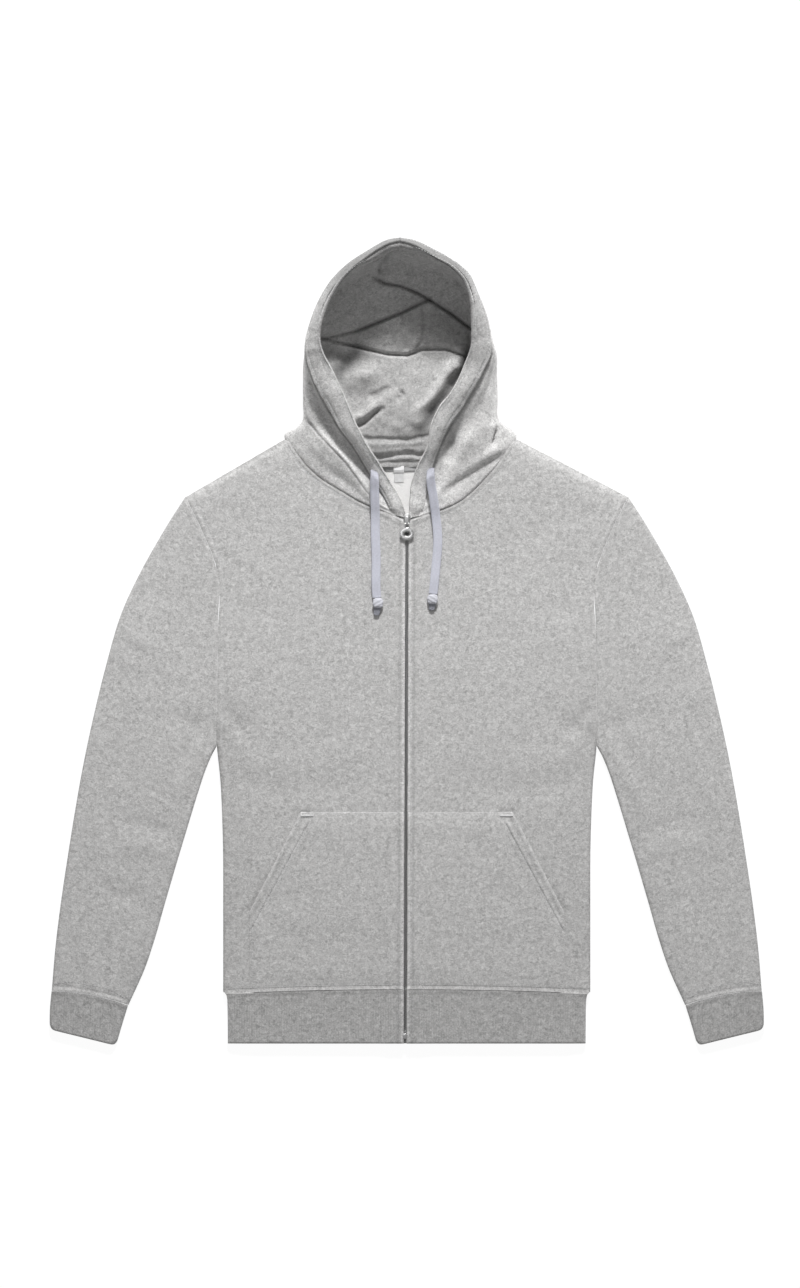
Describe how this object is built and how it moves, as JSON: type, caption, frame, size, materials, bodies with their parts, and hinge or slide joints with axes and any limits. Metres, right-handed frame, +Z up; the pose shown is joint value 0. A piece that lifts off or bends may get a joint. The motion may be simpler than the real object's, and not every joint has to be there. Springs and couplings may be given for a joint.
{
  "type": "zip up hoodie",
  "caption": "Zip up hooded sweatshirt laid flat on its back, hood open, with kangaroo pockets, ribbed hem and cuffs, a front zip with a ring puller, and flat drawcords.",
  "frame": {"origin": "on the surface that the garment lies on, in the middle of its outline", "axes": "+Z up from the surface, out of the garment's front; +Y from the hem to the hood; +X to the right as seen from above, which is the wearer's left"},
  "size_m": [0.8352, 0.944, 0.08],
  "materials": {
    "heather_fleece": "matte melange fleece",
    "rib_knit": "matte ribbed knit",
    "hood_lining_cloth": "matte melange jersey",
    "zip_tape_cloth": "matte woven tape",
    "label_cloth": "satin",
    "neck_tape_cloth": "matte twill tape",
    "cord_braid": "matte flat braid",
    "zip_metal": "bright nickel",
    "zip_chain_metal": "dark nickel"
  },
  "bodies": {
    "garment": {"back": "heather_fleece", "front_left": "heather_fleece", "front_right": "heather_fleece", "sleeve_left": "heather_fleece", "sleeve_right": "heather_fleece", "cuff_left": "rib_knit", "cuff_right": "rib_knit", "hem_band": "rib_knit", "pocket_left": "heather_fleece", "pocket_right": "heather_fleece", "hood_left": "heather_fleece", "hood_right": "heather_fleece", "hood_lining_left": "hood_lining_cloth", "hood_lining_right": "hood_lining_cloth", "hood_casing_left": "heather_fleece", "hood_casing_right": "heather_fleece", "neck_tape": "neck_tape_cloth", "neck_label": "label_cloth", "size_label": "neck_tape_cloth", "zip_tape_left": "zip_tape_cloth", "zip_tape_right": "zip_tape_cloth", "zip_chain": "zip_chain_metal", "zip_box": "zip_metal", "slider": "zip_metal", "drawcord_left": "cord_braid", "drawcord_right": "cord_braid", "cord_knot_left": "cord_braid", "cord_knot_right": "cord_braid"},
    "pull_tab": {"pull_tab": "zip_metal"}
  },
  "joints": [
    {"name": "pull_tab_hinge", "type": "hinge", "parent": "garment", "child": "pull_tab", "pos_m": [0.0003, 0.1391, 0.0117], "axis": [-1, 0, 0], "range_deg": [0, 130]}
  ]
}
